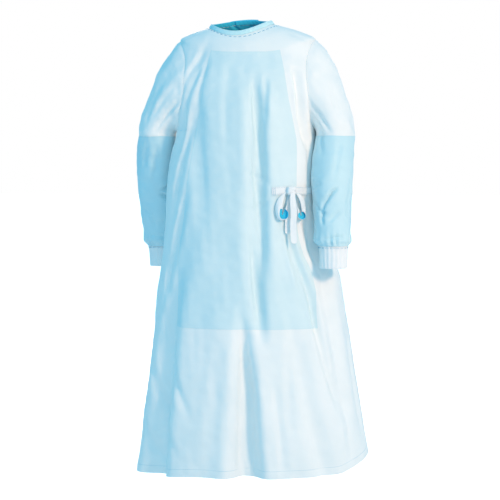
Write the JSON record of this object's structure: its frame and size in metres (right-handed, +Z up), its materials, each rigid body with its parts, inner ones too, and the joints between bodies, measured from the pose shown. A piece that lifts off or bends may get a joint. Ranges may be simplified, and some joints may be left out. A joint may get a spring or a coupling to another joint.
{
  "type": "surgical gown",
  "caption": "Long-sleeved surgical gown, filled out as if worn, with reinforced front and forearms, ribbed knit cuffs, a bound neck, a lapped open back and a bow tied at the side of the waist.",
  "frame": {"origin": "midway between the shoulders at the base of the neck, inside the hollow gown, where a wearer's shoulders or a hanger carries it", "axes": "+Z up along the gown's length, -Y out of the front, +X towards the viewer's right, which is the wearer's left"},
  "size_m": [0.6296, 0.4325, 1.2002],
  "materials": {
    "gown_cloth": "soft nonwoven, slight sheen",
    "front_layer": "pale aqua nonwoven, slight sheen",
    "sleeve_layer": "pale blue nonwoven, slight sheen",
    "knit": "white ribbed knit, matte",
    "tie_cloth": "white woven tape, matte"
  },
  "bodies": {
    "root": {"front_body": "gown_cloth", "back_outer": "gown_cloth", "back_inner": "gown_cloth", "front_reinforcement": "front_layer", "sleeve_right": "gown_cloth", "sleeve_left": "gown_cloth", "sleeve_reinforcement_right": "sleeve_layer", "sleeve_reinforcement_left": "sleeve_layer", "cuff_right": "knit", "cuff_left": "knit", "neck_binding": "tie_cloth", "neck_fastener": "tie_cloth", "belt": "tie_cloth", "bow_knot": "tie_cloth", "bow_loop_left": "tie_cloth", "bow_loop_right": "tie_cloth", "tail_front": "tie_cloth", "tail_back": "tie_cloth"}
  },
  "joints": []
}
